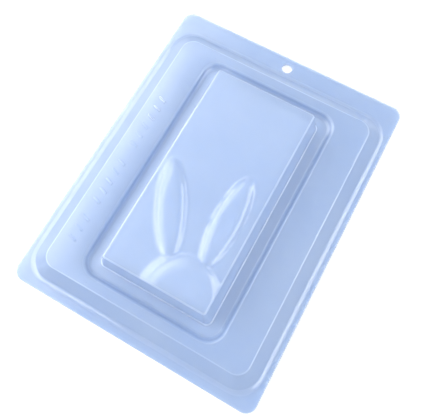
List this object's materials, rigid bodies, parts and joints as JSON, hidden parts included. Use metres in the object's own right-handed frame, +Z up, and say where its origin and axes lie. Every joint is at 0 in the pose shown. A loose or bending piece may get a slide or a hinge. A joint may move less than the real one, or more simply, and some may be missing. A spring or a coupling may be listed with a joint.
{
  "type": "three-part tablet mould",
  "caption": "Nested soap or chocolate tablet mould: thin formed shell plate with rabbit relief and hang hole, silicone liner, and formed core plate.",
  "frame": {"origin": "centre of the underside of the lowest flange, on the surface that the stack lies on", "axes": "+Z up through the raised backs of the plates, +Y along the long side towards the hang hole, +X to the right"},
  "size_m": [0.183, 0.24, 0.0311],
  "materials": {
    "formed_sheet": "glossy, see-through pale blue sheet, about 0.9 mm thick",
    "silicone": "soft, milky, matt silicone, 1.5 mm thick"
  },
  "bodies": {
    "core": {"core_plate": "formed_sheet"},
    "liner": {"silicone_liner": "silicone"},
    "shell": {"shell_plate": "formed_sheet"}
  },
  "joints": [
    {"name": "liner_lift", "type": "slide", "parent": "core", "child": "liner", "axis": [0, 0, 1], "range_m": [0, 0.045]},
    {"name": "shell_lift", "type": "slide", "parent": "liner", "child": "shell", "axis": [0, 0, 1], "range_m": [0, 0.05]}
  ]
}
